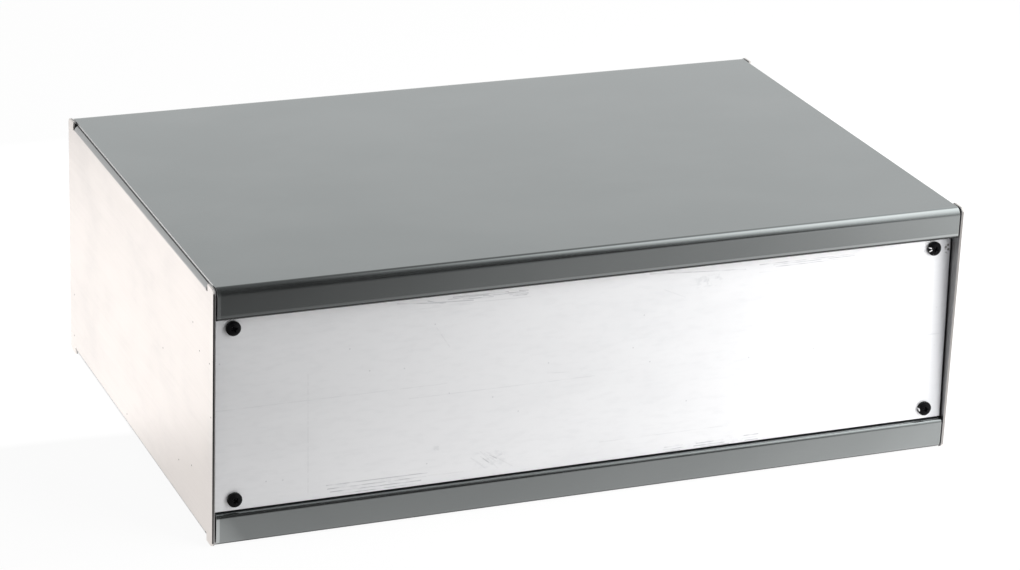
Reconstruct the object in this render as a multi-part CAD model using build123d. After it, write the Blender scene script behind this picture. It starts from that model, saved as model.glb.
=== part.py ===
from build123d import *
from math import atan, cos, sin
import os

# Steel instrument case, in millimetres. The origin is at the middle of the base,
# +Z is up, the front faces -Y and the width runs along X.

# Outside of the closed case
case_width = 305.0
case_depth = 200.0
case_height = 102.0

# Sheet thicknesses
cover_sheet = 1.0
side_sheet = 1.0
panel_sheet = 1.5

# Covers: a lip, a ledge folded in from it, and a flange that turns behind the panel
lip_height = 12.5
cover_bend = 3.0
lip_bend = 1.5
flange_bend = 0.5
flange_length = 9.5
flange_clip = 2.0

# Panels stand behind the lips, deeper at the upper ledge than at the lower one
recess_low = 2.2
recess_high = 5.7

# Side panels: full-height ears at the ends, folded flanges between them
ear_length = 7.0
ear_corner = 2.0
relief_width = 2.0
side_bend = 2.0
tab_width = 10.0
tab_overhang = 4.5
tab_clip = 2.0
tongue_root = 3.0

# Self-tapping pan-head screws, 2.9 mm, with a cross recess and a blunt end
screw_inset = 9.1
screw_rise = 5.0
thread_diameter = 2.9
core_diameter = 2.2
screw_length = 9.5
head_diameter = 5.6
head_height = 2.4
head_dome_radius = 4.2
recess_span = 3.0
recess_floor = 1.0
recess_wing = 0.8
recess_depth = 1.4
screw_turns = (20.0, 65.0, 48.0, 8.0)

# Clearances
cover_side_gap = 0.6
panel_side_gap = 0.6
panel_edge_gap = 0.6
screw_hole_gap = 0.25
pilot_gap = 0.1

# Heights of the ledges, and the lean of the panels between them
ledge_low = lip_height
ledge_high = case_height - lip_height
middle = case_height / 2
slope = (recess_high - recess_low) / (ledge_high - ledge_low)
lean = atan(slope)
front = -case_depth / 2

# Seats that follow from the stack of sheets
cover_width = case_width - 2 * (side_sheet + cover_side_gap)
panel_width = case_width - 2 * (side_sheet + panel_side_gap)
panel_height = (ledge_high - ledge_low - 2 * panel_edge_gap) / cos(lean)
flange_seat = panel_sheet
tab_seat = flange_seat + cover_sheet
screw_x = case_width / 2 - screw_inset
screw_y = (middle - ledge_low - screw_rise) / cos(lean)
side_flange = screw_inset + tab_width / 2
flange_end = case_depth / 2 - ear_length - relief_width
hole_radius = thread_diameter / 2 + screw_hole_gap
pilot_radius = core_diameter / 2 + pilot_gap
drill_length = 2 * (tab_seat + side_sheet + side_bend)


def panel_y(height, depth):
    """Y of the plane that lies a depth behind the front panel's face, at a height."""
    face = front + recess_low + (height - ledge_low) * slope
    return face + depth / cos(lean)


# Frame of the front panel's face: local X is the width, Y climbs the panel, Z points out
front_frame = Plane(
    origin=(0, panel_y(middle, 0), middle),
    x_dir=(1, 0, 0),
    z_dir=(0, -cos(lean), sin(lean)),
)
corners = [(-screw_x, screw_y), (screw_x, screw_y), (-screw_x, -screw_y), (screw_x, -screw_y)]


def on_front(shape):
    return front_frame.location * shape


def to_rear(shape):
    return shape.mirror(Plane.XZ)


def to_right(shape):
    return shape.mirror(Plane.YZ)


def corner_drills(radius):
    """Cylinders through the front and rear stacks at every screw."""
    drills = [on_front(Pos(x, y, 0) * Cylinder(radius, drill_length)) for x, y in corners]
    return drills + [to_rear(drill) for drill in drills]


def folded(points, radii, sheet, side):
    """Section of a folded sheet: a filleted line thickened to one side."""
    line = FilletPolyline(*points, radius=radii)
    return make_face(offset(line, amount=sheet, side=side))


def cover(outer, ledge):
    """A cover whose flat face is at height outer and whose ledges are at height ledge."""
    inward = 1 if ledge > outer else -1
    flange_y = panel_y(ledge, flange_seat)
    half = [
        (flange_y + inward * flange_length * sin(lean), ledge + inward * flange_length * cos(lean)),
        (flange_y, ledge),
        (front, ledge),
        (front, outer),
    ]
    points = half + [(-y, z) for y, z in reversed(half)]
    bends = [flange_bend, lip_bend, cover_bend]
    side = Side.LEFT if inward > 0 else Side.RIGHT
    section = folded(points, bends + bends[::-1], cover_sheet, side)
    body = extrude(Plane.YZ * section, amount=cover_width / 2, both=True)
    for lean_side in (-1, 1):
        across_flange = Axis((0, 0, 0), (0, lean_side * cos(lean), sin(lean)))
        body = chamfer(body.edges().filter_by(across_flange), flange_clip)
    return body - corner_drills(hole_radius)


def side_web():
    """The flat of a side panel, with an ear at each corner and its relief notch."""
    blank = RectangleRounded(case_depth, case_height, ear_corner)
    fold_line = middle - cover_sheet - side_bend
    notch_height = middle - fold_line
    for level in (-1, 1):
        notch = Rectangle(case_depth - 2 * ear_length, notch_height)
        blank -= Pos(0, level * (fold_line + notch_height / 2)) * notch
    return Pos(-case_width / 2, 0, middle) * extrude(Plane.YZ * blank, amount=side_sheet)


def side_channel():
    """The folded middle of a side panel: web, two bends and two flanges."""
    outer = -case_width / 2
    low = cover_sheet
    high = case_height - cover_sheet
    points = [(outer + side_flange, high), (outer, high), (outer, low), (outer + side_flange, low)]
    section = folded(points, [side_bend, side_bend], side_sheet, Side.LEFT)
    return extrude(Plane.XZ * section, amount=flange_end, both=True)


def relief_end(flange):
    """Y at which the relief beside a tab's bend ends."""
    return panel_y(flange, tab_seat) + side_bend + relief_width / 2


def tab_relief(flange):
    """What is cut from a flange where its tab is bent, at the front and at the rear."""
    length = flange_end + relief_end(flange)
    if length <= 0:
        return []
    width = tab_width + relief_width
    cutter = Box(width, length, 2 * side_bend)
    cutter = Pos(-screw_x - relief_width / 2, relief_end(flange) - length / 2, flange) * cutter
    return [cutter, to_rear(cutter)]


def mounting_tab(flange, level):
    """A tongue from a flange at height flange, turned up or down behind the cover's flange."""
    screw_z = middle + level * screw_y * cos(lean)
    tip = screw_z - level * tab_overhang * cos(lean)
    points = [
        (max(-flange_end, relief_end(flange)) + tongue_root, flange),
        (panel_y(flange, tab_seat), flange),
        (panel_y(tip, tab_seat), tip),
    ]
    side = Side.LEFT if level > 0 else Side.RIGHT
    section = folded(points, [side_bend], side_sheet, side)
    tab = extrude(Plane.YZ * section, amount=tab_width / 2, both=True)
    across_tab = Axis((0, 0, 0), (0, -cos(lean), sin(lean)))
    tab = chamfer(tab.edges().filter_by(across_tab), tab_clip)
    return Pos(-screw_x, 0, 0) * tab


def side_panel():
    """The left side panel, one folded sheet."""
    panel = side_web() + side_channel()
    for flange, level in ((case_height - cover_sheet, 1), (cover_sheet, -1)):
        tab = mounting_tab(flange, level)
        panel = panel - tab_relief(flange) + [tab, to_rear(tab)]
    return panel - corner_drills(pilot_radius)


def front_panel():
    """A flat sheet with a screw hole near each corner."""
    blank = Rectangle(panel_width, panel_height)
    return on_front(extrude(blank, amount=-panel_sheet)) - corner_drills(hole_radius)


def cross_recess():
    """Two tapered wings, as a cross-point driver leaves in the head."""
    bottom = head_height - recess_depth
    half = [(recess_span / 2, head_height), (recess_floor / 2, bottom)]
    outline = Polyline(*half, *[(-x, z) for x, z in reversed(half)], close=True)
    wing = extrude(Plane.XZ * make_face(outline), amount=recess_wing / 2, both=True)
    return wing + Rot(0, 0, 90) * wing


def pan_head_screw():
    """A screw that points down, with the underside of its head at the origin."""
    rim = head_diameter / 2
    shoulder = head_height - head_dome_radius + (head_dome_radius**2 - rim**2) ** 0.5
    dome = RadiusArc((rim, shoulder), (0, head_height), -head_dome_radius)
    outline = Polyline((0, head_height), (0, 0), (rim, 0), (rim, shoulder)) + dome
    head = revolve(Plane.XZ * make_face(outline), Axis.Z)
    shank = Pos(0, 0, -screw_length / 2) * Cylinder(core_diameter / 2, screw_length)
    return head + shank - cross_recess()


def front_screws():
    screw = pan_head_screw()
    turned = [Rot(0, 0, turn) * screw for turn in screw_turns]
    return [on_front(Pos(x, y, 0) * copy) for (x, y), copy in zip(corners, turned)]


left_side = side_panel()
front_plate = front_panel()
screws = front_screws()

nodes = {
    "top_cover": cover(case_height, ledge_high),
    "bottom_cover": cover(0, ledge_low),
    "left_side_panel": left_side,
    "right_side_panel": to_right(left_side),
    "front_panel": front_plate,
    "rear_panel": to_rear(front_plate),
    "front_panel_screws": Compound(children=screws),
    "rear_panel_screws": Compound(children=[to_rear(screw) for screw in screws]),
}

os.makedirs("parts", exist_ok=True)
for name, shape in nodes.items():
    export_step(shape, f"parts/{name}.step")
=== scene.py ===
import math
from functools import reduce

import bmesh
import bpy
from mathutils import Matrix, Vector


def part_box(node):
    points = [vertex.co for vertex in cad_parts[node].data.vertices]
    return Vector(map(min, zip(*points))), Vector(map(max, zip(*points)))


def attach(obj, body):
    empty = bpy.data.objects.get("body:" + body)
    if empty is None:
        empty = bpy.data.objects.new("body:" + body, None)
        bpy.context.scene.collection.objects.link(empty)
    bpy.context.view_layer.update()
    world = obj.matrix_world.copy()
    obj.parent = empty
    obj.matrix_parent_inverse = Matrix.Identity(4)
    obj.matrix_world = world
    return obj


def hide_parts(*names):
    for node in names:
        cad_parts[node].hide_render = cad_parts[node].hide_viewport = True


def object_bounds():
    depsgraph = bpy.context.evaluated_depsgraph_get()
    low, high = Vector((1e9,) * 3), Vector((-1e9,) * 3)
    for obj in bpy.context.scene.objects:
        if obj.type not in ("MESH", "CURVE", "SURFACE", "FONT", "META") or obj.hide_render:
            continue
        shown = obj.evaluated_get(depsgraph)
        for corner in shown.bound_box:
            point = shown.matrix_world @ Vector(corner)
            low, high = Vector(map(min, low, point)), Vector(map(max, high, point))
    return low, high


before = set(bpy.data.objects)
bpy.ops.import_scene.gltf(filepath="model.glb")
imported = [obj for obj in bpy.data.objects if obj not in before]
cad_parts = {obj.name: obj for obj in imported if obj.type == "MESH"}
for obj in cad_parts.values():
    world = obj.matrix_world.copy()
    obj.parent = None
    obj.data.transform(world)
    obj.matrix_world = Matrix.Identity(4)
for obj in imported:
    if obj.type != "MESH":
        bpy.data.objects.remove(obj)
cad_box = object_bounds()

bl_info = {
    "name": "Steel instrument case",
    "version": (1, 0, 0),
    "blender": (4, 5, 0),
    "location": "View3D > Sidebar > Case",
    "description": "Finishes a folded steel instrument case and stands it on a pale stage",
    "category": "Object",
}

BODY = "root"
COVERS = ("top_cover", "bottom_cover")
SIDES = ("left_side_panel", "right_side_panel")
FRONT = "front_panel"
REAR = "rear_panel"
SCREW_GROUPS = ("front_panel_screws", "rear_panel_screws")

MM = 0.001
LOW, HIGH = cad_box

# Width of the camera's sensor, which the focal length goes with
SENSOR = 36.0


def colour_property(name, description, default):
    return bpy.props.FloatVectorProperty(
        name=name, description=description, default=default, subtype="COLOR", min=0, max=1
    )


def length_property(name, description, default):
    return bpy.props.FloatProperty(
        name=name, description=description, default=default, unit="LENGTH", min=0
    )


def share_property(name, description, default):
    return bpy.props.FloatProperty(
        name=name, description=description, default=default, subtype="FACTOR", min=0, max=1
    )


def angle_property(name, description, degrees):
    return bpy.props.FloatProperty(
        name=name, description=description, default=math.radians(degrees), subtype="ANGLE"
    )


class CASE_PG_coating(bpy.types.PropertyGroup):
    """Smooth grey coating of the covers, its folds, and the bare edge where the sheet was cut."""

    colour: colour_property("Coating", "Colour of the coated sheet", (0.322, 0.346, 0.346))
    pale: colour_property("Pale mottle", "Colour of its palest cloudy patches", (0.336, 0.360, 0.360))
    # Painted shade: the dark colour below is laid into the lips' inner folds and ledges.
    fold: colour_property(
        "Inner fold", "Colour of the lips' inner folds, where little light reaches", (0.07, 0.073, 0.073)
    )
    # Painted highlight: the pale colour below is laid on a lip's left end and along the upper lip's foot.
    thick: colour_property(
        "Thick coating", "Colour of the thicker coating on a lip's end and rim", (0.62, 0.66, 0.66)
    )
    dust: colour_property("Dust", "Colour of the fine dust", (0.62, 0.63, 0.63))
    edge: colour_property("Cut edge", "Colour of the bare steel at the cut ends", (0.86, 0.87, 0.87))
    roughness: share_property("Roughness", "How much the coating blurs what it mirrors", 0.12)
    metallic: share_property("Metallic", "How metallic the grey enamel looks", 0.985)
    peel_size: length_property("Peel size", "Width of one dimple of the orange peel", 0.0011)
    peel_depth: length_property("Peel depth", "Depth of the orange peel", 0.0000025)
    bare_width: length_property("Bare edge", "How far in from its end the cut shows", 0.0001)


class CASE_PG_steel(bpy.types.PropertyGroup):
    """Bare rolled steel of the side panels."""

    colour: colour_property("Steel", "Colour of the rolled sheet", (0.99, 0.95, 0.91))
    dull: colour_property("Dull film", "Colour where the film on the sheet is thicker", (0.90, 0.87, 0.84))
    # Painted shade: the inner faces of the side panels are given the darker colour below.
    inside: colour_property("Inside", "Colour of the duller inner faces", (0.37, 0.37, 0.37))
    stain: colour_property("Specks", "Colour of the dark specks and pits", (0.10, 0.085, 0.07))
    # The near black below is partly the sheared edge's own rough half and partly painted shade; it also
    # paints the dark line along the folds.
    torn_edge_and_shade: colour_property("Torn edge", "Colour of the rough half of a sheared edge", (0.05, 0.05, 0.05))
    # Painted shade: the folds are given this grey and made nearly non-metallic, so that they show darker
    # than the flat sheet.
    fold: colour_property("Folds", "Colour of the folds, dull where the sheet was bent", (0.70, 0.71, 0.71))
    worn: colour_property("Rubbed edge", "Colour of the sheet's rubbed edges", (0.97, 0.97, 0.97))
    roughness: share_property("Roughness", "How much the sheet blurs what it mirrors", 0.36)
    grain_size: length_property("Grain", "Distance between two lines of the rolling grain", 0.00035)


class CASE_PG_aluminium(bpy.types.PropertyGroup):
    """Bare aluminium of the front and rear panels."""

    colour: colour_property("Aluminium", "Colour of the sheet", (0.893, 0.900, 0.910))
    dull: colour_property("Smudges", "Colour of handling marks", (0.72, 0.73, 0.745))
    # Besides the marks, this colour is laid on the front panel's right end as painted shade beside the gap.
    scratch_and_shade: colour_property("Scratches", "Colour of the scratches, dots and film", (0.52, 0.53, 0.55))
    dirt: colour_property("Dirt", "Colour of the dirt caught at a corner", (0.07, 0.065, 0.06))
    roughness: share_property("Roughness", "How much the sheet blurs what it mirrors", 0.44)
    metallic: share_property("Metallic", "How metallic the oxidised sheet looks", 0.73)
    grain_size: length_property("Grain", "Distance between two lines of the rolling grain", 0.0003)


class CASE_PG_screw(bpy.types.PropertyGroup):
    """Black self-tapping pan-head screw with a cross recess."""

    colour: colour_property("Black finish", "Colour of the screw's finish", (0.003, 0.003, 0.0035))
    # Besides the worn edges, this colour paints the glints beside the recess of the right screws, which are
    # painted highlights.
    worn: colour_property("Worn edge", "Colour of the recess edge where a driver rubbed", (0.75, 0.75, 0.76))
    roughness: share_property("Roughness", "How much the finish blurs what it mirrors", 0.48)
    head_diameter: length_property("Head diameter", "Across the pan head", 0.0056)
    head_height: length_property("Head height", "From the panel to the top of the head", 0.0024)
    dome_radius: length_property("Dome radius", "Radius of the head's crown", 0.0042)
    rim_radius: length_property("Rim rounding", "Rounding of the head's lower rim", 0.00025)
    core_diameter: length_property("Core diameter", "Diameter under the thread", 0.0022)
    thread_diameter: length_property("Thread diameter", "Across the thread's crest", 0.0029)
    thread_pitch: length_property("Pitch", "Distance from one turn to the next", 0.0011)
    length: length_property("Length", "Under the head to the blunt end", 0.0095)
    recess_span: length_property("Recess span", "Across the recess at the top of the head", 0.003)
    recess_floor: length_property("Recess floor", "Across the recess at its floor", 0.001)
    recess_wing: length_property("Recess wing", "Width of one wing of the cross", 0.0008)
    recess_depth: length_property("Recess depth", "Depth of the recess", 0.0014)


class CASE_PG_stage(bpy.types.PropertyGroup):
    """Pale floor, soft lamps and the camera."""

    floor: colour_property("Floor", "Colour of the pale floor", (0.80, 0.80, 0.80))
    glow: colour_property("Mirrored floor", "Colour of the floor as mirrors show it", (1.0, 0.975, 0.972))
    floor_size: length_property("Floor size", "Side of the square floor", 6.0)
    backdrop: share_property("Backdrop share", "How much of the floor shows as plain white", 0.93)
    mirrored: share_property("Mirrored share", "How much of the floor mirrors as lit by itself", 1.0)
    shade_place: bpy.props.FloatVectorProperty(
        name="Shade",
        description="Middle of the dim floor before the case",
        default=(-0.2, -0.5, 0),
        unit="LENGTH",
    )
    contact: length_property("Contact shade", "How far in under the case its mirrored shade deepens", 0.002)
    dome: share_property("Dome", "Brightness of the surround on matt surfaces", 0.55)
    front_way: bpy.props.FloatVectorProperty(
        name="Front screen", description="Where the surround is dimmer in front", default=(0.15, -0.85, 0.45)
    )
    rear_way: bpy.props.FloatVectorProperty(
        name="Rear screen", description="Where the surround is dimmer behind", default=(-0.42, 0.89, 0.15)
    )
    lens: bpy.props.FloatProperty(name="Lens", description="Focal length", default=120.21, min=1)
    camera_place: bpy.props.FloatVectorProperty(
        name="Camera place",
        description="Where the photograph was taken from",
        default=(-0.488514, -1.185175, 0.553848),
        subtype="TRANSLATION",
        unit="LENGTH",
    )
    heading: angle_property("Heading", "Turn of the camera to the right of the case's depth", 22.557)
    tilt: angle_property("Tilt", "How far the camera looks down", 21.485)
    roll: angle_property("Roll", "Turn of the camera about its own line of sight", 2.229)


# Soft round lamps that mirrors don't show, as a name, a place, the point that they look at,
# a diameter, a power in watts and the spread of the beam in degrees
LAMPS = (
    ("key", (0.57, -0.16, 0.60), (0.05, 0.0, 0.05), 0.94, 6.0, 180),
    ("front_right", (0.60, -0.65, 0.32), (0.40, -0.1, 0.05), 0.8, 5.5, 90),
)

# Brightness of what stands behind the case, as mirrors show it, by the height of the line of sight
REAR_LEVELS = (
    (0.0, 1.0), (0.28, 0.96), (0.36, 0.80), (0.385, 0.70), (0.44, 0.42), (0.60, 0.28), (0.80, 0.18),
    (1.0, 0.10),
)
# What is added to it towards the right, and the heights of the line of sight over which that starts
REAR_GLOW = (
    (-1.0, 0.0), (0.34, 0.0), (0.383, 0.12), (0.436, 0.40), (0.474, 0.68), (0.52, 0.9), (0.8, 0.5),
    (1.0, 0.4),
)
GLOW_HEIGHTS = (0.35, 0.46)

# The dimmer screens of the surround: the cosines of the angles from their middles at which they
# start and are full, and the brightness that is left there
REAR_SCREEN = (0.90, 0.97, 0.40)
FRONT_SCREEN = (0.70, 0.87, 0.55)
# How far back the line of sight points where the rear levels give way to those in front
FRONT_FROM = (0.52, 0.14)

# Brightness overhead and in front, and of the tall softbox at the right, by how far right they are
OVERHEAD_LEVELS = ((-1.0, 0.8), (-0.1, 0.5), (0.08, 0.4), (0.18, 0.02), (1.0, 0.02))
SOFTBOX_LEVELS = (
    (-1.0, 0.03), (0.34, 0.03), (0.36, 0.05), (0.385, 0.11), (0.40, 0.20), (0.415, 0.40), (0.43, 0.65),
    (0.445, 0.98), (0.46, 1.22), (0.48, 1.5), (0.50, 1.85), (0.52, 2.15), (0.56, 2.5), (0.62, 2.2),
    (0.75, 1.0), (1.2, 0.9),
)
# The way along which that is measured, a little off the right so that the softbox leans
SOFTBOX_LEAN = (1.0, 0.072, 0.081)

# Brightness of the floor in mirrors, by the distance from the shade's middle
NEAR_LEVELS = (
    (0.0, 0.06), (0.20, 0.12), (0.233, 0.175), (0.266, 0.228), (0.307, 0.352), (0.35, 0.434), (0.39, 0.51),
    (0.42, 0.575), (0.46, 0.72), (0.48, 0.83), (0.505, 0.97), (0.525, 1.17), (1.0, 1.17),
)
# Brightness of the far floor in front, as mirrors show it, by how far right it is
FAR_LEVELS = (
    (-1.0, 1.0), (-0.6, 0.9), (-0.2, 0.1), (0.26, 0.12), (0.41, 0.36), (0.5, 0.5), (0.56, 0.65),
    (0.66, 0.9), (1.0, 1.1),
)
# How far in front of the case the far levels start and are full, and the same for how far forward
# the way there points
FAR_FROM = (0.30, 0.55)
FAR_TURN = (0.0, -0.3)
# The floor to the left of the case: where it starts and is full along X and Y, and its lowest level
BESIDE_X = (-0.120, -0.150)
BESIDE_Y = (-0.16, -0.115)
BESIDE_LEVEL = 0.80
# The floor behind the case dims over these distances, to this share
BEHIND_FROM = (0.25, 0.60)
BEHIND_LEVEL = 0.4
# What is left of the floor's brightness under the case
UNDER_LEVEL = 0.12

SETTINGS = {
    "case_coating": CASE_PG_coating,
    "case_steel": CASE_PG_steel,
    "case_aluminium": CASE_PG_aluminium,
    "case_screw": CASE_PG_screw,
    "case_stage": CASE_PG_stage,
}


# Node building


def new_tree(material):
    """The empty node tree of a material or a world."""
    material.use_nodes = True
    material.node_tree.nodes.clear()
    return material.node_tree


def node(tree, kind, inputs=None, **settings):
    """Adds a shader node, sets its options, and links or sets its inputs by name or number."""
    made = tree.nodes.new("ShaderNode" + kind)
    for option, value in settings.items():
        setattr(made, option, value)
    for key, value in (inputs or {}).items():
        if isinstance(value, bpy.types.NodeSocket):
            tree.links.new(value, made.inputs[key])
        else:
            made.inputs[key].default_value = value
    return made


def calc(tree, operation, first, second=0.0):
    """One step of arithmetic on numbers."""
    return node(tree, "Math", {0: first, 1: second}, operation=operation).outputs[0]


def vector_calc(tree, operation, first, second=(0, 0, 0)):
    """One step of arithmetic on vectors."""
    made = node(tree, "VectorMath", {0: first, 1: second}, operation=operation)
    return made.outputs["Value" if operation in ("LENGTH", "DOT_PRODUCT") else "Vector"]


def split(tree, vector):
    """A vector's parts, by the names X, Y and Z."""
    return node(tree, "SeparateXYZ", {0: vector}).outputs


def fade(tree, value, start, end, low=0.0, high=1.0):
    """Turns a value between start and end into one between low and high, softly at both ends."""
    inputs = {"Value": value, "From Min": start, "From Max": end, "To Min": low, "To Max": high}
    return node(tree, "MapRange", inputs, interpolation_type="SMOOTHSTEP").outputs["Result"]


def inset(tree, value, wall, none, full):
    """0 to 1 as a value goes from none to full, both in millimetres in from a wall of the case."""
    inward = -math.copysign(MM, wall)
    return fade(tree, value, wall + none * inward, wall + full * inward)


def blend(tree, factor, first, second):
    """Mixes two colours."""
    made = node(tree, "Mix", {0: factor}, data_type="RGBA")
    for socket, value in ((made.inputs[6], first), (made.inputs[7], second)):
        if isinstance(value, bpy.types.NodeSocket):
            tree.links.new(value, socket)
        else:
            socket.default_value = (*value, 1)
    return made.outputs[2]


def stretched(tree, coords, size):
    """Coordinates in which one cell of a pattern measures size, in metres along X, Y and Z."""
    scale = tuple(1 / part for part in size)
    return node(tree, "Mapping", {"Vector": coords, "Scale": scale}).outputs["Vector"]


def noise(tree, coords, size, detail=2.0, rough=0.5):
    """Cloudy pattern from 0 to 1 whose cells measure size along X, Y and Z."""
    vector = stretched(tree, coords, size)
    inputs = {"Vector": vector, "Scale": 1.0, "Detail": detail, "Roughness": rough}
    return node(tree, "TexNoise", inputs).outputs["Fac"]


def patch(tree, coords, centre, half, softness):
    """1 inside a soft box round centre, falling to 0 at its sides."""
    offset = vector_calc(tree, "SUBTRACT", coords, centre)
    scaled = vector_calc(tree, "DIVIDE", offset, half)
    widest = strongest(tree, split(tree, vector_calc(tree, "ABSOLUTE", scaled)))
    return fade(tree, widest, 1.0, 1.0 - softness)


def strongest(tree, masks):
    """The highest of several masks."""
    return reduce(lambda first, second: calc(tree, "MAXIMUM", first, second), masks)


def nearest(tree, distances):
    """The lowest of several distances."""
    return reduce(lambda first, second: calc(tree, "MINIMUM", first, second), distances)


def distance(tree, coords, place):
    """How far the surface is from a place."""
    return vector_calc(tree, "LENGTH", vector_calc(tree, "SUBTRACT", coords, place))


def specks(tree, coords, places, radius):
    """Small round marks at the given places."""
    distances = [distance(tree, coords, place) for place in places]
    return fade(tree, nearest(tree, distances), radius, radius * 0.4)


def on_plane(places):
    """Places given as X and Z in millimetres, as points in metres whose Y is zero."""
    return [(x * MM, 0, z * MM) for x, z in places]


def principled(tree, **inputs):
    """The surface shader, linked to the material's output."""
    shader = node(tree, "BsdfPrincipled", {key.replace("_", " "): value for key, value in inputs.items()})
    output = node(tree, "OutputMaterial")
    tree.links.new(shader.outputs[0], output.inputs["Surface"])
    return shader


def bump(tree, height, depth, normal):
    """Surface relief of the given depth on a normal."""
    return node(tree, "Bump", {"Height": height, "Distance": depth, "Normal": normal}).outputs["Normal"]


def rounded_edge(tree, radius):
    """Normals that soften every sharp edge, as deburring does."""
    return node(tree, "Bevel", {"Radius": radius}, samples=6).outputs["Normal"]


def edge_wear(tree, soft_normal):
    """1 where the softened normal turns away from the flat one, on every sharp edge."""
    flat = node(tree, "NewGeometry").outputs["Normal"]
    return fade(tree, vector_calc(tree, "DOT_PRODUCT", flat, soft_normal), 0.995, 0.85)


# Materials

DEBURR = 0.12 * MM

# Masks on the sheets, each as where it starts and where it is full, in millimetres in from the sides
# (IN), the front and rear (BEHIND) or the top and bottom (DOWN) of the case. They are the painted
# highlight at the lips' left ends, the lips' flat faces, and on the side panels the inner faces, painted
# darker as shade, the sheared edges' rough half, darkened partly as painted shade, the folds, painted
# grey as shade, and the painted dark line along them
HIGHLIGHT_IN = (3.1, 2.7)
HIGHLIGHT_BEHIND = (1.0, 0.2)
FACE_BEHIND = (0.03, 0.01)
INSIDE_IN = (0.3, 0.9)
TORN_IN = (0.65, 0.55)
TORN_BEHIND = (0.12, 0.04)
BENT_DOWN = (3.1, 2.5)
BENT_BEHIND = (7.5, 8.0)
BEND_SHADE_IN = (1.2, 1.35)
# How much of the sheared edges' rough half and its painted shade shows on the left and on the right
# side, and how wide the strip at the middle of the case is in which marks of one side or end fade out
TORN_SHARES = (0.95, 0.5)
CROSSING = 0.01

# The covers' ends along X, the share of the painted highlight on a lip's end, and the painted light line
# at the upper lip's foot: its height, the half widths where it starts and is full, and its share
COVER_END = HIGH.x - 1.6 * MM
HIGHLIGHT_SHARE = 0.8
RIM_HEIGHT = 91.3 * MM
RIM_HALF = (0.55 * MM, 0.3 * MM)
RIM_SHARE = 0.55
# The painted shade in the lips' inner folds: the height midway between them, how far from it the shade
# starts and is full, and the heights and shares over which it darkens from the lower lip to the upper one
FOLD_MIDDLE = HIGH.z / 2 + 0.54 * MM
FOLD_FROM = (39.3 * MM, 39.1 * MM)
FOLD_GROWTH = (0.02, 0.08, 0.45, 1.0)
# Size and share of the dust, and how much rougher a cut end is
DUST_SIZE = 0.0009
DUST_SHARE = 0.35
CUT_ROUGHNESS = 0.12


def coating_material(settings):
    """Grey coated steel with orange peel, clouds and dust, painted shade in the folds, painted highlights on
    a lip's end and foot, and bare cut ends.
    """
    material = bpy.data.materials.new("cover_coating_detail")
    tree = new_tree(material)
    coords = node(tree, "TexCoord").outputs["Object"]
    place = split(tree, coords)
    depth = calc(tree, "ABSOLUTE", place["Y"])
    clouds = noise(tree, coords, (0.07, 0.05, 0.05), detail=4.0, rough=0.6)
    colour = blend(tree, fade(tree, clouds, 0.35, 0.7), settings.colour[:], settings.pale[:])
    dust = noise(tree, coords, (DUST_SIZE,) * 3, detail=1.0)
    dust = calc(tree, "MULTIPLY", fade(tree, dust, 0.80, 0.86), DUST_SHARE)
    colour = blend(tree, dust, colour, settings.dust[:])
    # Painted highlight: the lip's left end is made paler.
    lip_end = inset(tree, place["X"], LOW.x, *HIGHLIGHT_IN)
    lip_end = calc(tree, "MULTIPLY", lip_end, inset(tree, depth, HIGH.y, *HIGHLIGHT_BEHIND))
    colour = blend(tree, calc(tree, "MULTIPLY", lip_end, HIGHLIGHT_SHARE), colour, settings.thick[:])
    cut = fade(tree, calc(tree, "ABSOLUTE", place["X"]), COVER_END - settings.bare_width, COVER_END)
    colour = blend(tree, cut, colour, settings.edge[:])
    # Painted highlight: a pale line along the upper lip's foot.
    rim = fade(tree, calc(tree, "ABSOLUTE", calc(tree, "SUBTRACT", place["Z"], RIM_HEIGHT)), *RIM_HALF)
    colour = blend(tree, calc(tree, "MULTIPLY", rim, RIM_SHARE), colour, settings.thick[:])
    # Painted shade: the lips' inner folds and ledges are darkened, more on the upper lip.
    inner = calc(tree, "ABSOLUTE", calc(tree, "SUBTRACT", place["Z"], FOLD_MIDDLE))
    inner = calc(tree, "MULTIPLY", fade(tree, inner, *FOLD_FROM), fade(tree, place["Z"], *FOLD_GROWTH))
    colour = blend(tree, inner, colour, settings.fold[:])
    haze = noise(tree, coords, (0.04, 0.03, 0.03), detail=3.0)
    rough = fade(tree, haze, 0.3, 0.7, settings.roughness - 0.008, settings.roughness + 0.012)
    rough = calc(tree, "ADD", rough, calc(tree, "MULTIPLY", cut, CUT_ROUGHNESS))
    peel = noise(tree, coords, (settings.peel_size,) * 3, detail=1.0)
    flat_normal = node(tree, "NewGeometry").outputs["True Normal"]
    soft = blend(tree, inset(tree, depth, HIGH.y, *FACE_BEHIND), rounded_edge(tree, DEBURR), flat_normal)
    principled(
        tree,
        Base_Color=colour,
        Roughness=rough,
        Metallic=fade(tree, cut, 0.0, 1.0, settings.metallic, 1.0),
        Normal=bump(tree, peel, settings.peel_depth, soft),
    )
    return material


# Dark specks on the left side panel, as places along Y and Z in millimetres
SIDE_SPECKS = (
    (93.8, 26.4), (94.5, 7.8), (-36.2, 54.4), (-75.1, 80.2), (-83.4, 72.1),
    (-95.8, 72.0), (-97.9, 51.6), (-73.8, 22.0), (-57.2, 17.1), (14.5, 5.7),
)
SIDE_SPECK_RADIUS = 0.45 * MM
PIT_SIZE = 0.0013
SIDE_GRAIN_DEPTH = 0.0000012
# How much of the rub on its edges shows, and how metallic specks and the folds, painted as shade, still look
RUBBED_SHARE = 0.5
DULL_METALLIC = 0.15


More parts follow.
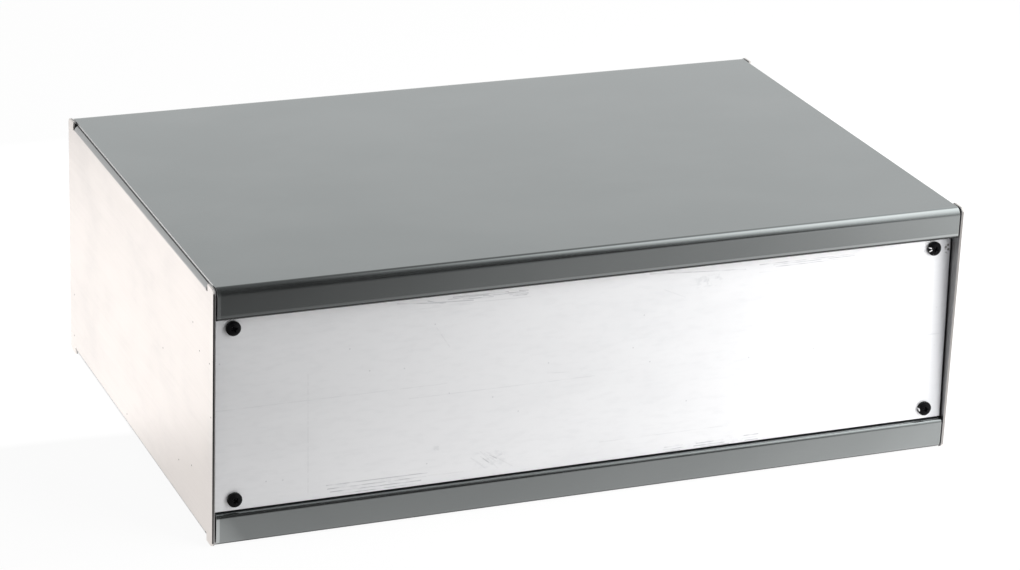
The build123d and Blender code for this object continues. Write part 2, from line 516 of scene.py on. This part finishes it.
def steel_material(settings):
    """Bare rolled steel with a grain along Y, clouds, specks and rubbed edges, with painted shade on the
    folds and inner faces, and sheared edges darkened partly as painted shade.
    """
    material = bpy.data.materials.new("side_steel_detail")
    tree = new_tree(material)
    coords = node(tree, "TexCoord").outputs["Object"]
    grain = noise(tree, coords, (settings.grain_size, 0.03, settings.grain_size), detail=3.0)
    clouds = noise(tree, coords, (0.05, 0.05, 0.03), detail=5.0, rough=0.62)
    dull = calc(tree, "ADD", fade(tree, clouds, 0.42, 0.75, 0.0, 0.7), fade(tree, grain, 0.3, 0.8, 0.0, 0.3))
    colour = blend(tree, dull, settings.colour[:], settings.dull[:])
    place = split(tree, coords)
    across = calc(tree, "ABSOLUTE", place["X"])
    depth = calc(tree, "ABSOLUTE", place["Y"])
    rise = calc(tree, "ABSOLUTE", calc(tree, "SUBTRACT", place["Z"], HIGH.z / 2))
    # Painted shade: the inner faces are darker than the outer ones.
    colour = blend(tree, inset(tree, across, HIGH.x, *INSIDE_IN), colour, settings.inside[:])
    places = [(LOW.x, y * MM, z * MM) for y, z in SIDE_SPECKS]
    marks = specks(tree, coords, places, SIDE_SPECK_RADIUS)
    pits = fade(tree, noise(tree, coords, (PIT_SIZE,) * 3, detail=2.0), 0.83, 0.88, 0.0, 0.6)
    colour = blend(tree, strongest(tree, [marks, pits]), colour, settings.stain[:])
    soft = rounded_edge(tree, DEBURR)
    worn = calc(tree, "MULTIPLY", edge_wear(tree, soft), RUBBED_SHARE)
    colour = blend(tree, worn, colour, settings.worn[:])
    # The sheared edges' rough half is darkened, partly its own colour and partly painted shade.
    torn_edge_and_shade = inset(tree, across, HIGH.x, *TORN_IN)
    torn_edge_and_shade = calc(tree, "MULTIPLY", torn_edge_and_shade, inset(tree, depth, HIGH.y, *TORN_BEHIND))
    torn_edge_and_shade = calc(tree, "MULTIPLY", torn_edge_and_shade, fade(tree, place["X"], 0.0, CROSSING, *TORN_SHARES))
    colour = blend(tree, torn_edge_and_shade, colour, settings.torn_edge_and_shade[:])
    # Painted shade: the folds are painted grey.
    bent = inset(tree, rise, HIGH.z / 2, *BENT_DOWN)
    bent = calc(tree, "MULTIPLY", bent, inset(tree, depth, HIGH.y, *BENT_BEHIND))
    colour = blend(tree, bent, colour, settings.fold[:])
    # Painted shade: a dark line along the folds.
    bend_shade = calc(tree, "MULTIPLY", bent, inset(tree, across, HIGH.x, *BEND_SHADE_IN))
    colour = blend(tree, bend_shade, colour, settings.torn_edge_and_shade[:])
    rough = fade(tree, grain, 0.2, 0.8, settings.roughness - 0.04, settings.roughness + 0.05)
    principled(
        tree,
        Base_Color=colour,
        Roughness=calc(tree, "ADD", rough, calc(tree, "MULTIPLY", clouds, 0.06)),
        Metallic=fade(tree, strongest(tree, [marks, bent]), 0.0, 1.0, 1.0, DULL_METALLIC),
        Normal=bump(tree, grain, SIDE_GRAIN_DEPTH, soft),
    )
    return material


# Scratches on the front panel, each as the X and Z of its two ends in millimetres
DEEP_SCRATCHES = (
    (-80, 86.5, -61, 84.8), (-68, 86.2, -62, 84.6), (-54, 85.4, -42, 85.1), (-35.5, 85.1, -28, 85.0),
    (-66, 85.3, -50, 84.6), (-46, 85.8, -33, 85.6), (-60, 85.9, -44, 86.2), (-58, 86.6, -36, 86.4),
    (-36, 85.9, -29, 85.6), (-34, 84.5, -28.5, 84.4), (-31.5, 86.3, -28, 86.1), (22, 87.0, 44, 85.6),
    (40, 85.8, 62, 84.6), (68, 85.7, 109, 85.7), (74, 85.0, 109, 85.1), (75, 84.2, 108, 84.3),
    (-45, 20.6, -42.5, 18.6), (-42.3, 21.6, -39.5, 20.0), (-107.5, 18.0, -67.5, 17.8),
    (-107, 16.5, -68, 16.4), (-106, 15.2, -70, 15.1), (-100, 14.0, -72, 13.9),
    (30.5, 15.3, 38, 15.3), (30, 14.3, 38.5, 14.3), (31, 13.4, 37, 13.4), (44, 15.2, 54, 15.2),
    (43, 14.2, 56, 14.2), (46, 13.4, 58, 13.4), (64.5, 15.8, 70.5, 15.8), (64, 14.7, 70, 14.7),
    (65, 13.7, 70.5, 13.7), (134, 49.0, 148.5, 48.3),
)
# Fainter ones in the same form
FINE_SCRATCHES = (
    (-66, 84.0, -27, 83.4), (-75, 83.6, -50, 83.2), (68, 82.6, 105, 82.5), (-67, 16.6, -50, 16.2),
    (-114.7, 63.0, -114.7, 15.0), (-150, 52.8, -60, 52.8), (-75, 48.5, 0, 48.5), (3, 21.0, 55, 21.0),
    (-65.5, 77.0, -59, 67.0), (-19.5, 52.0, -10.5, 51.3), (93, 48.5, 100, 46.0),
    (-114.7, 31.0, -114.7, 27.0), (-46, 23.5, -39, 16.0), (-50, 21.5, -44, 16.5),
    (-43.5, 23.0, -33, 16.0), (-49, 20.8, -46, 18.6), (-46, 21.5, -41, 17.6),
    (-44.5, 22.5, -39.5, 18.6), (-41, 20.0, -37.5, 21.4), (28, 80.0, 37, 76.0),
)
# Dark dots on the front panel, as places along X and Z in millimetres
PANEL_DOTS = (
    (-90.7, 61.5), (-77.0, 60.8), (-19.0, 56.0), (-124.5, 22.5), (-131.0, 22.8), (-67.7, 21.5),
    (-98.5, 71.0), (-65.0, 76.8), (-31.0, 38.0), (-41.5, 45.0), (39.0, 33.5), (20.0, 70.7),
    (15.8, 58.0), (23.0, 51.5), (93.0, 48.5), (65.0, 48.2), (88.0, 30.2), (129.0, 66.5),
    (131.0, 81.5), (146.6, 43.7), (146.6, 59.5), (-59.0, 48.7), (-148.5, 71.0), (147.6, 85.2),
    (150.1, 82.7),
)
# Smudges, each as a middle and a half size along X and Z in millimetres
SMUDGES = (
    ((47, 81.5), (9, 3.6)),
    ((-42, 20.2), (8.5, 4.6)),
    ((-64, 27), (1.6, 1.6)),
    ((141, 83), (9, 4.5)),
    ((50, 14.6), (20, 1.8)),
    ((-88, 16), (20, 2.6)),
)
# Dirt at the upper right corner: a soft patch in the same form, and three spots
DIRT_CORNER = ((149.6, 83.5), (1.6, 2.4))
DIRT_SPOTS = ((149.0, 84.3), (149.9, 85.1), (150.1, 83.3))

# Widths of the marks, and how strongly each kind shows
DEEP_WIDTH, DEEP_SHARE = 0.30 * MM, 0.68
FINE_WIDTH, FINE_SHARE = 0.32 * MM, 0.17
DOT_RADIUS, DOT_SHARE = 0.42 * MM, 0.45
DIRT_SPOT_RADIUS = 0.7 * MM
# Where the painted shade at the front panel's right end starts and is full along X, and its share
EDGE_SHADE_FROM = (140.5 * MM, 149 * MM)
EDGE_SHADE_SHARE = 0.85
SMUDGE_ROUGHNESS = 0.2
PANEL_GRAIN_DEPTH = 0.000001


def scratched(tree, flat, lines, width):
    """Thin marks along straight lines, on coordinates whose Y is zero."""
    distances = []
    for from_x, from_z, to_x, to_z in lines:
        start = Vector((from_x, 0, from_z)) * MM
        line = Vector((to_x, 0, to_z)) * MM - start
        way = line.normalized()
        offset = vector_calc(tree, "SUBTRACT", flat, start)
        along = vector_calc(tree, "DOT_PRODUCT", offset, way)
        along = node(tree, "Clamp", {"Value": along, "Min": 0.0, "Max": line.length}).outputs[0]
        foot = node(tree, "VectorMath", {0: way, "Scale": along}, operation="SCALE").outputs["Vector"]
        distances.append(distance(tree, offset, foot))
    return fade(tree, nearest(tree, distances), width, width * 0.3)


def flattened(tree, coords):
    """Coordinates with their Y at zero, for marks that are placed along X and Z."""
    return vector_calc(tree, "MULTIPLY", coords, (1, 0, 1))


def on_front(tree, coords):
    """1 on the front half of the case, where the marks are, and 0 on the rear half."""
    return fade(tree, split(tree, coords)["Y"], 0.0, -CROSSING)


def panel_patch(tree, coords, place, half, softness):
    """A soft box on the front panel, from a middle and half size along X and Z in millimetres."""
    low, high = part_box(FRONT)
    depth = (high.y - low.y) / 2 + MM
    centre = (place[0] * MM, (low.y + high.y) / 2, place[1] * MM)
    return patch(tree, coords, centre, (half[0] * MM, depth, half[1] * MM), softness)


def aluminium_material(settings):
    """Bare aluminium with grain and mottle, scratches, dots, smudges and dirt on the front, and painted
    shade at its right end.
    """
    material = bpy.data.materials.new("panel_aluminium_detail")
    tree = new_tree(material)
    coords = node(tree, "TexCoord").outputs["Object"]
    grain = noise(tree, coords, (0.04, settings.grain_size, settings.grain_size), detail=3.0)
    clouds = noise(tree, coords, (0.06, 0.03, 0.025), detail=5.0, rough=0.62)
    mottle = noise(tree, coords, (0.006, 0.002, 0.0016), detail=3.0)
    mottle = fade(tree, mottle, 0.45, 0.75, 0.0, 0.14)
    dull = calc(tree, "ADD", fade(tree, clouds, 0.45, 0.8, 0.0, 0.25), mottle)
    colour = blend(tree, dull, settings.colour[:], settings.dull[:])
    patches = [panel_patch(tree, coords, place, half, 0.9) for place, half in SMUDGES]
    blots = noise(tree, coords, (0.0028, 0.002, 0.0018), detail=3.0, rough=0.6)
    smudge = calc(tree, "MULTIPLY", strongest(tree, patches), fade(tree, blots, 0.45, 0.65, 0.0, 0.9))
    colour = blend(tree, smudge, colour, settings.dull[:])
    flat = flattened(tree, coords)
    front = on_front(tree, coords)
    broken = fade(tree, noise(tree, coords, (0.006, 0.002, 0.0012), detail=3.0), 0.35, 0.60, 0.15, 1.0)
    deep = calc(tree, "MULTIPLY", scratched(tree, flat, DEEP_SCRATCHES, DEEP_WIDTH), DEEP_SHARE)
    fine = calc(tree, "MULTIPLY", scratched(tree, flat, FINE_SCRATCHES, FINE_WIDTH), FINE_SHARE)
    dots = specks(tree, flat, on_plane(PANEL_DOTS), DOT_RADIUS)
    lines = calc(tree, "MULTIPLY", strongest(tree, [deep, fine]), broken)
    lines = strongest(tree, [lines, calc(tree, "MULTIPLY", dots, DOT_SHARE)])
    lines = calc(tree, "MULTIPLY", lines, front)
    stray = noise(tree, coords, (0.012, 0.0009, 0.0006), detail=2.0)
    lines = strongest(tree, [lines, fade(tree, stray, 0.78, 0.86, 0.0, 0.15)])
    colour = blend(tree, lines, colour, settings.scratch_and_shade[:])
    # Painted shade: the front panel's right end darkens beside the gap.
    edge_shade = calc(tree, "MULTIPLY", front, fade(tree, split(tree, coords)["X"], *EDGE_SHADE_FROM))
    colour = blend(tree, calc(tree, "MULTIPLY", edge_shade, EDGE_SHADE_SHARE), colour, settings.scratch_and_shade[:])
    spots = fade(tree, noise(tree, coords, (0.0012, 0.0012, 0.0010), detail=3.0), 0.48, 0.60, 0.0, 0.5)
    dirt = calc(tree, "MULTIPLY", panel_patch(tree, coords, *DIRT_CORNER, 0.4), spots)
    caught = specks(tree, flat, on_plane(DIRT_SPOTS), DIRT_SPOT_RADIUS)
    dirt = strongest(tree, [dirt, calc(tree, "MULTIPLY", caught, front)])
    colour = blend(tree, dirt, colour, settings.dirt[:])
    rough = fade(tree, grain, 0.2, 0.8, settings.roughness - 0.05, settings.roughness + 0.05)
    principled(
        tree,
        Base_Color=colour,
        Roughness=calc(tree, "ADD", rough, calc(tree, "MULTIPLY", smudge, SMUDGE_ROUGHNESS)),
        Metallic=fade(tree, dirt, 0.0, 1.0, settings.metallic, 0.0),
        Normal=bump(tree, grain, PANEL_GRAIN_DEPTH, rounded_edge(tree, DEBURR)),
    )
    return material


# Painted glints on the two screws at the right, each as the X and Z of its two ends in millimetres
PAINTED_GLINTS = ((140.9, 85.3, 141.5, 85.2), (141.0, 83.8, 141.7, 84.4), (140.7, 17.9, 140.9, 17.1))
GLINT_WIDTH = 0.28 * MM
GRIT_SIZE = 0.0004
GRIT_DEPTH = 0.000004
HEAD_DEBURR = 0.06 * MM


def screw_material(settings):
    """Black finish with worn edges, and painted glints beside the recess of the front's right screws."""
    material = bpy.data.materials.new("black_screw_detail")
    tree = new_tree(material)
    coords = node(tree, "TexCoord").outputs["Object"]
    soft = rounded_edge(tree, HEAD_DEBURR)
    grit = noise(tree, coords, (GRIT_SIZE,) * 3, detail=3.0)
    # Painted glints beside the recess of the right screws, over the worn edges.
    glints = scratched(tree, flattened(tree, coords), PAINTED_GLINTS, GLINT_WIDTH)
    worn = calc(tree, "MULTIPLY", edge_wear(tree, soft), fade(tree, grit, 0.4, 0.6, 0.01, 0.08))
    worn = strongest(tree, [worn, calc(tree, "MULTIPLY", glints, on_front(tree, coords))])
    colour = blend(tree, worn, settings.colour[:], settings.worn[:])
    principled(
        tree,
        Base_Color=colour,
        Roughness=fade(tree, grit, 0.3, 0.7, settings.roughness - 0.06, settings.roughness + 0.08),
        Metallic=0.3,
        Specular_IOR_Level=0.12,
        Normal=bump(tree, grit, GRIT_DEPTH, soft),
    )
    return material


def dress(node_name, material):
    """Puts a material in the slots of a CAD node."""
    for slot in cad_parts[node_name].material_slots:
        slot.material = material


# Screws

# How far the recess of each screw is turned, in degrees: upper left, upper right, lower left, lower
# right, as the front shows them
RECESS_TURNS = (20.0, 65.0, 48.0, 8.0)
# Steps round a turn of the thread, along the dome and the rim, and round the head
THREAD_STEPS = 24
DOME_STEPS = 14
RIM_STEPS = 6
HEAD_STEPS = 96
# Chamfer of the blunt end and radius of the thread's foot, as shares of the core's radius
END_CHAMFER = 0.25
THREAD_ROOT = 0.93
# Half width of the thread at its foot and its crest, as shares of the pitch
THREAD_FOOT = 0.22
THREAD_CREST = 0.03
# How far the recess's cutter stands above the head, and the rounding of its floor's edges
CUTTER_RISE = 0.3 * MM
CUTTER_ROUNDING = 0.12 * MM
# Faces that meet at more than this many degrees keep a sharp edge
SHARP_ANGLE = 32


def spun(points, steps):
    """A closed turned shape from its outline, given as radius and height from axis to axis."""
    bm = bmesh.new()
    verts = [bm.verts.new((radius, 0, height)) for radius, height in points]
    edges = [bm.edges.new(pair) for pair in zip(verts, verts[1:])]
    bmesh.ops.spin(
        bm,
        geom=verts + edges,
        cent=(0, 0, 0),
        axis=(0, 0, 1),
        angle=math.tau,
        steps=steps,
        use_merge=True,
    )
    bmesh.ops.remove_doubles(bm, verts=bm.verts, dist=1e-7)
    bmesh.ops.recalc_face_normals(bm, faces=bm.faces)
    return bm


def screw_body(settings):
    """Head and plain core in one turned shape, with a rounded rim and a chamfered end."""
    rim = settings.head_diameter / 2
    core = settings.core_diameter / 2
    soft = settings.rim_radius
    drop = settings.dome_radius - math.sqrt(settings.dome_radius**2 - rim**2)
    shoulder = settings.head_height - drop
    reach = math.asin(rim / settings.dome_radius)
    centre = settings.head_height - settings.dome_radius
    end = -settings.length
    bevel = core * END_CHAMFER
    points = [(0, end), (core - bevel, end), (core, end + bevel), (core, 0), (rim - soft, 0)]
    for step in range(1, RIM_STEPS + 1):
        turn = math.pi / 2 * step / RIM_STEPS
        points.append((rim - soft + soft * math.sin(turn), soft - soft * math.cos(turn)))
    points.append((rim, shoulder - soft / 2))
    crown = settings.dome_radius
    for step in range(DOME_STEPS):
        turn = reach * (1 - step / DOME_STEPS)
        points.append((crown * math.sin(turn), centre + crown * math.cos(turn)))
    points.append((0, settings.head_height))
    return spun(points, HEAD_STEPS)


def thread_ridge(settings):
    """A single V thread wound round the core, closed at both ends."""
    core = settings.core_diameter / 2
    crest = settings.thread_diameter / 2
    root = core * THREAD_ROOT
    foot = settings.thread_pitch * THREAD_FOOT
    tip = settings.thread_pitch * THREAD_CREST
    turns = math.floor((settings.length - 3 * foot) / settings.thread_pitch)
    start = -settings.length + 2 * foot
    bm = bmesh.new()
    outline = [(root, -foot), (crest, -tip), (crest, tip), (root, foot)]
    bm.faces.new([bm.verts.new((radius, 0, start + height)) for radius, height in outline])
    bmesh.ops.spin(
        bm,
        geom=bm.verts[:] + bm.edges[:] + bm.faces[:],
        cent=(0, 0, 0),
        axis=(0, 0, 1),
        dvec=(0, 0, settings.thread_pitch / THREAD_STEPS),
        angle=math.tau * turns,
        steps=THREAD_STEPS * turns,
    )
    bmesh.ops.recalc_face_normals(bm, faces=bm.faces)
    return bm


def wing(settings, turned):
    """One tapered wing of the cross recess."""
    bottom = settings.head_height - settings.recess_depth
    taper = (settings.recess_span - settings.recess_floor) / settings.recess_depth
    height = settings.recess_depth + CUTTER_RISE
    bm = bmesh.new()
    bmesh.ops.create_cube(bm, size=1.0)
    bmesh.ops.scale(bm, vec=(settings.recess_floor, settings.recess_wing, height), verts=bm.verts)
    bmesh.ops.translate(bm, vec=(0, 0, bottom + height / 2), verts=bm.verts)
    top = [vert for vert in bm.verts if vert.co.z > bottom + height / 2]
    spread = (settings.recess_floor + taper * height) / settings.recess_floor
    bmesh.ops.scale(bm, vec=(spread, 1, 1), verts=top)
    low_ends = [edge for edge in bm.edges if abs(edge.verts[0].co.z - edge.verts[1].co.z) < 1e-9]
    low_ends = [edge for edge in low_ends if edge.verts[0].co.z < bottom + height / 2]
    bmesh.ops.bevel(
        bm,
        geom=low_ends,
        offset=CUTTER_ROUNDING,
        segments=3,
        profile=0.5,
        affect="EDGES",
        material=-1,
    )
    bmesh.ops.rotate(bm, cent=(0, 0, 0), matrix=Matrix.Rotation(turned, 3, "Z"), verts=bm.verts)
    return bm


def as_object(bm, name):
    """A new object, at the origin, that holds a bmesh."""
    mesh = bpy.data.meshes.new(name)
    bm.to_mesh(mesh)
    bm.free()
    made = bpy.data.objects.new(name, mesh)
    bpy.context.scene.collection.objects.link(made)
    return made


def combined(base, tool, operation):
    """Base with tool joined to it or cut from it, and both of the old objects removed."""
    change = base.modifiers.new(operation.lower(), "BOOLEAN")
    change.operation = operation
    change.solver = "EXACT"
    change.object = tool
    graph = bpy.context.evaluated_depsgraph_get()
    mesh = bpy.data.meshes.new_from_object(base.evaluated_get(graph))
    base.modifiers.clear()
    base.data = mesh
    bpy.data.objects.remove(tool)
    return base


def model_screw(settings):
    """One screw, point down, with the underside of its head at the origin."""
    screw = as_object(screw_body(settings), "screw_model")
    screw = combined(screw, as_object(thread_ridge(settings), "thread_model"), "UNION")
    for turned in (0, math.pi / 2):
        screw = combined(screw, as_object(wing(settings, turned), "wing_model"), "DIFFERENCE")
    return screw


def solids(bm):
    """The vertices of each separate solid in a merged bmesh."""
    left = set(bm.verts)
    groups = []
    while left:
        group = []
        todo = [left.pop()]
        while todo:
            vert = todo.pop()
            group.append(vert)
            near = {edge.other_vert(vert) for edge in vert.link_edges} & left
            left -= near
            todo += near
        groups.append(group)
    return groups


def outward(panel_name):
    """The way a panel's outer face looks, read from its largest face."""
    normal = max(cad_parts[panel_name].data.polygons, key=lambda face: face.area).normal.copy()
    low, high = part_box(panel_name)
    return normal if normal.y * (low.y + high.y) > 0 else -normal


def screw_places(group_name, panel_name, length):
    """Where each screw of a CAD group sits: a matrix with Z out of the panel and Y up it."""
    out = outward(panel_name)
    across = Vector((-math.copysign(1, out.y), 0, 0))
    up = out.cross(across)
    turn_way = -math.copysign(1, out.y)
    bm = bmesh.new()
    bm.from_mesh(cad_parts[group_name].data)
    bmesh.ops.remove_doubles(bm, verts=bm.verts, dist=1e-6)
    places = []
    for group in solids(bm):
        reach = [[vert.co.dot(way) for vert in group] for way in (across, up, out)]
        middle = [(min(values) + max(values)) / 2 for values in reach[:2]]
        seat = across * middle[0] + up * middle[1] + out * (min(reach[2]) + length)
        turn = turn_way * RECESS_TURNS[2 * (seat.z < HIGH.z / 2) + (seat.x > 0)]
        axes = Matrix((across, up, out)).transposed().to_4x4()
        turned = Matrix.Rotation(math.radians(turn), 4, "Z")
        places.append(Matrix.Translation(seat) @ axes @ turned)
    bm.free()
    return places


def screw_group(model, places, name):
    """One piece that holds a copy of the screw at each place."""
    bm = bmesh.new()
    for place in places:
        copy = model.data.copy()
        copy.transform(place)
        bm.from_mesh(copy)
        bpy.data.meshes.remove(copy)
    group = as_object(bm, name)
    group.data.shade_smooth()
    group.data.set_sharp_from_angle(angle=math.radians(SHARP_ANGLE))
    return group


# Stage


def aimed(place, target):
    """Matrix at place whose -Z looks at target."""
    way = Vector(target) - Vector(place)
    return Matrix.Translation(place) @ way.to_track_quat("-Z", "Y").to_matrix().to_4x4()


def soft_lamp(name, place, target, size, power, spread):
    """A round lamp that looks at target and stays out of the picture."""
    data = bpy.data.lights.new(name, "AREA")
    data.shape = "DISK"
    data.size = size
    data.energy = power
    data.spread = math.radians(spread)
    lamp = bpy.data.objects.new(name, data)
    lamp.matrix_world = aimed(place, target)
    lamp.visible_camera = False
    lamp.visible_glossy = False
    bpy.context.scene.collection.objects.link(lamp)


def levels(tree, value, points):
    """Brightness that runs through the given points of value and level."""
    peak = max(level for _, level in points)
    first, last = points[0][0], points[-1][0]
    share = node(tree, "MapRange", {"Value": value, "From Min": first, "From Max": last}).outputs["Result"]
    made = node(tree, "ValToRGB", {0: share})
    elements = made.color_ramp.elements
    while len(elements) < len(points):
        elements.new(1.0)
    for element, (position, level) in zip(elements, points):
        element.position = (position - first) / (last - first)
        element.color = (*(level / peak,) * 3, 1)
    return calc(tree, "MULTIPLY", made.outputs["Color"], peak)


def toward(tree, way, middle, edge, core, level):
    """1, falling to level where the line of sight is near middle."""
    turned = vector_calc(tree, "DOT_PRODUCT", way, Vector(middle).normalized())
    return fade(tree, turned, edge, core, 1.0, level)


def mirrored_floor(tree, settings):
    """How bright mirrors show the floor: dim before the case and under it, and dimmer behind."""
    coords = node(tree, "TexCoord").outputs["Object"]
    near = levels(tree, distance(tree, coords, settings.shade_place[:]), NEAR_LEVELS)
    ahead = vector_calc(tree, "SUBTRACT", coords, (0, LOW.y, 0))
    ahead_way = split(tree, vector_calc(tree, "NORMALIZE", ahead))
    front = fade(tree, ahead_way["Y"], *FAR_TURN)
    far_share = calc(tree, "MULTIPLY", front, fade(tree, vector_calc(tree, "LENGTH", ahead), *FAR_FROM))
    far = levels(tree, ahead_way["X"], FAR_LEVELS)
    shade = node(tree, "Mix", {0: far_share, 2: near, 3: far}).outputs[0]
    place = split(tree, coords)
    beside = calc(tree, "MULTIPLY", fade(tree, place["X"], *BESIDE_X), fade(tree, place["Y"], *BESIDE_Y))
    shade = calc(tree, "MAXIMUM", shade, calc(tree, "MULTIPLY", beside, BESIDE_LEVEL))
    shade = calc(tree, "MULTIPLY", shade, fade(tree, place["Y"], *BEHIND_FROM, 1.0, BEHIND_LEVEL))
    under = patch(tree, coords, (0, 0, 0), (HIGH.x, HIGH.y, 1), settings.contact / HIGH.y)
    return calc(tree, "MULTIPLY", shade, fade(tree, under, 0.0, 1.0, 1.0, UNDER_LEVEL))


def floor_material(settings):
    """Matt pale floor that shows as white, keeps the shadow and has its own levels in mirrors."""
    material = bpy.data.materials.new("floor")
    tree = new_tree(material)
    path = node(tree, "LightPath").outputs
    shade = mirrored_floor(tree, settings)
    shade = calc(tree, "MAXIMUM", shade, calc(tree, "SUBTRACT", 1.0, path["Is Glossy Ray"]))
    matt = node(tree, "BsdfDiffuse", {"Color": (*settings.floor, 1)})
    tint = blend(tree, path["Is Glossy Ray"], (1, 1, 1), settings.glow[:])
    white = node(tree, "Emission", {"Color": tint, "Strength": shade})
    mirrored = calc(tree, "MULTIPLY", path["Is Glossy Ray"], settings.mirrored)
    seen = calc(tree, "MULTIPLY", path["Is Camera Ray"], settings.backdrop)
    share = calc(tree, "MAXIMUM", calc(tree, "MAXIMUM", mirrored, seen), path["Is Transmission Ray"])
    mixed = node(tree, "MixShader", {0: share, 1: matt.outputs[0], 2: white.outputs[0]})
    node(tree, "OutputMaterial", {"Surface": mixed.outputs[0]})
    return material


# How far the floor lies under the case
FLOOR_DROP = 0.1 * MM


def lay_floor(settings):
    """A large square floor just under the case."""
    bm = bmesh.new()
    bmesh.ops.create_grid(bm, x_segments=1, y_segments=1, size=settings.floor_size / 2)
    bmesh.ops.translate(bm, vec=(0, 0, -FLOOR_DROP), verts=bm.verts)
    floor = as_object(bm, "floor")
    floor.data.materials.append(floor_material(settings))


def light_world(settings):
    """A white surround that mirrors show by its levels, with a tall softbox at the right."""
    world = bpy.data.worlds.new("surround")
    bpy.context.scene.world = world
    tree = new_tree(world)
    way = node(tree, "TexCoord").outputs["Generated"]
    parts = split(tree, way)
    rear = levels(tree, parts["Z"], REAR_LEVELS)
    rear = calc(tree, "MULTIPLY", rear, toward(tree, way, settings.rear_way, *REAR_SCREEN))
    glow = calc(tree, "MULTIPLY", levels(tree, parts["X"], REAR_GLOW), fade(tree, parts["Z"], *GLOW_HEIGHTS))
    rear = calc(tree, "ADD", rear, glow)
    leaned = vector_calc(tree, "DOT_PRODUCT", way, SOFTBOX_LEAN)
    front = toward(tree, way, settings.front_way, *FRONT_SCREEN)
    overhead = calc(tree, "MULTIPLY", levels(tree, leaned, OVERHEAD_LEVELS), front)
    overhead = calc(tree, "ADD", overhead, levels(tree, leaned, SOFTBOX_LEVELS))
    forward = fade(tree, parts["Y"], *FRONT_FROM)
    mirror = node(tree, "Mix", {0: forward, 2: rear, 3: overhead}).outputs[0]
    path = node(tree, "LightPath").outputs
    matt = calc(tree, "MULTIPLY", path["Is Diffuse Ray"], settings.dome)
    mirror = calc(tree, "MULTIPLY", path["Is Glossy Ray"], mirror)
    seen = calc(tree, "MAXIMUM", path["Is Camera Ray"], path["Is Transmission Ray"])
    strength = calc(tree, "MAXIMUM", calc(tree, "MAXIMUM", matt, mirror), seen)
    shine = node(tree, "Background", {"Color": (1, 1, 1, 1), "Strength": strength})
    node(tree, "OutputWorld", {"Surface": shine.outputs[0]})


def place_camera(settings):
    """The photograph's point of view."""
    data = bpy.data.cameras.new("camera")
    data.sensor_width = SENSOR
    data.lens = settings.lens
    camera = bpy.data.objects.new("camera", data)
    heading = Matrix.Rotation(-settings.heading, 4, "Z")
    tilt = Matrix.Rotation(math.pi / 2 - settings.tilt, 4, "X")
    roll = Matrix.Rotation(settings.roll, 4, "Z")
    camera.matrix_world = Matrix.Translation(settings.camera_place) @ heading @ tilt @ roll
    bpy.context.scene.collection.objects.link(camera)
    bpy.context.scene.camera = camera


# Operators


class CASE_OT_covers(bpy.types.Operator):
    """Finish the top and bottom covers as grey coated steel"""

    bl_idname = "case.covers"
    bl_label = "Finish covers"

    def execute(self, context):
        material = coating_material(context.scene.case_coating)
        for name in COVERS:
            dress(name, material)
        return {"FINISHED"}


class CASE_OT_side_panels(bpy.types.Operator):
    """Finish the side panels as bare rolled steel"""

    bl_idname = "case.side_panels"
    bl_label = "Finish side panels"

    def execute(self, context):
        material = steel_material(context.scene.case_steel)
        for name in SIDES:
            dress(name, material)
        return {"FINISHED"}


class CASE_OT_end_panels(bpy.types.Operator):
    """Finish the front and rear panels as bare aluminium"""

    bl_idname = "case.end_panels"
    bl_label = "Finish front and rear panels"

    def execute(self, context):
        material = aluminium_material(context.scene.case_aluminium)
        for name in (FRONT, REAR):
            dress(name, material)
        return {"FINISHED"}


class CASE_OT_screws(bpy.types.Operator):
    """Model the black self-tapping screws of the front and rear panels"""

    bl_idname = "case.screws"
    bl_label = "Model screws"

    def execute(self, context):
        settings = context.scene.case_screw
        model = model_screw(settings)
        model.data.materials.append(screw_material(settings))
        for group_name, panel_name in zip(SCREW_GROUPS, (FRONT, REAR)):
            places = screw_places(group_name, panel_name, settings.length)
            piece = screw_group(model, places, f"{group_name}_threaded")
            piece.data.materials.append(model.data.materials[0])
            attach(piece, BODY)
            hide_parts(group_name)
        bpy.data.objects.remove(model)
        return {"FINISHED"}


class CASE_OT_stage(bpy.types.Operator):
    """Lay the pale floor, hang the soft lamps and place the camera"""

    bl_idname = "case.stage"
    bl_label = "Build stage"

    def execute(self, context):
        settings = context.scene.case_stage
        lay_floor(settings)
        light_world(settings)
        for lamp in LAMPS:
            soft_lamp(*lamp)
        place_camera(settings)
        context.scene.view_settings.view_transform = "Standard"
        return {"FINISHED"}


STEPS = (CASE_OT_covers, CASE_OT_side_panels, CASE_OT_end_panels, CASE_OT_screws, CASE_OT_stage)


class CASE_PT_panel(bpy.types.Panel):
    """Lists the steps and the sizes and colours that they use"""

    bl_label = "Instrument case"
    bl_space_type = "VIEW_3D"
    bl_region_type = "UI"
    bl_category = "Case"

    def draw(self, context):
        for step in STEPS:
            self.layout.operator(step.bl_idname)
        for name, group in SETTINGS.items():
            box = self.layout.box()
            for key in group.__annotations__:
                box.prop(getattr(context.scene, name), key)


CLASSES = (*SETTINGS.values(), *STEPS, CASE_PT_panel)


def register():
    for cls in CLASSES:
        bpy.utils.register_class(cls)
    for name, group in SETTINGS.items():
        setattr(bpy.types.Scene, name, bpy.props.PointerProperty(type=group))


def unregister():
    for name in SETTINGS:
        delattr(bpy.types.Scene, name)
    for cls in reversed(CLASSES):
        bpy.utils.unregister_class(cls)


def main():
    register()
    for step in STEPS:
        group, action = step.bl_idname.split(".")
        getattr(getattr(bpy.ops, group), action)()
    bpy.context.view_layer.update()


if __name__ == "__main__":
    main()
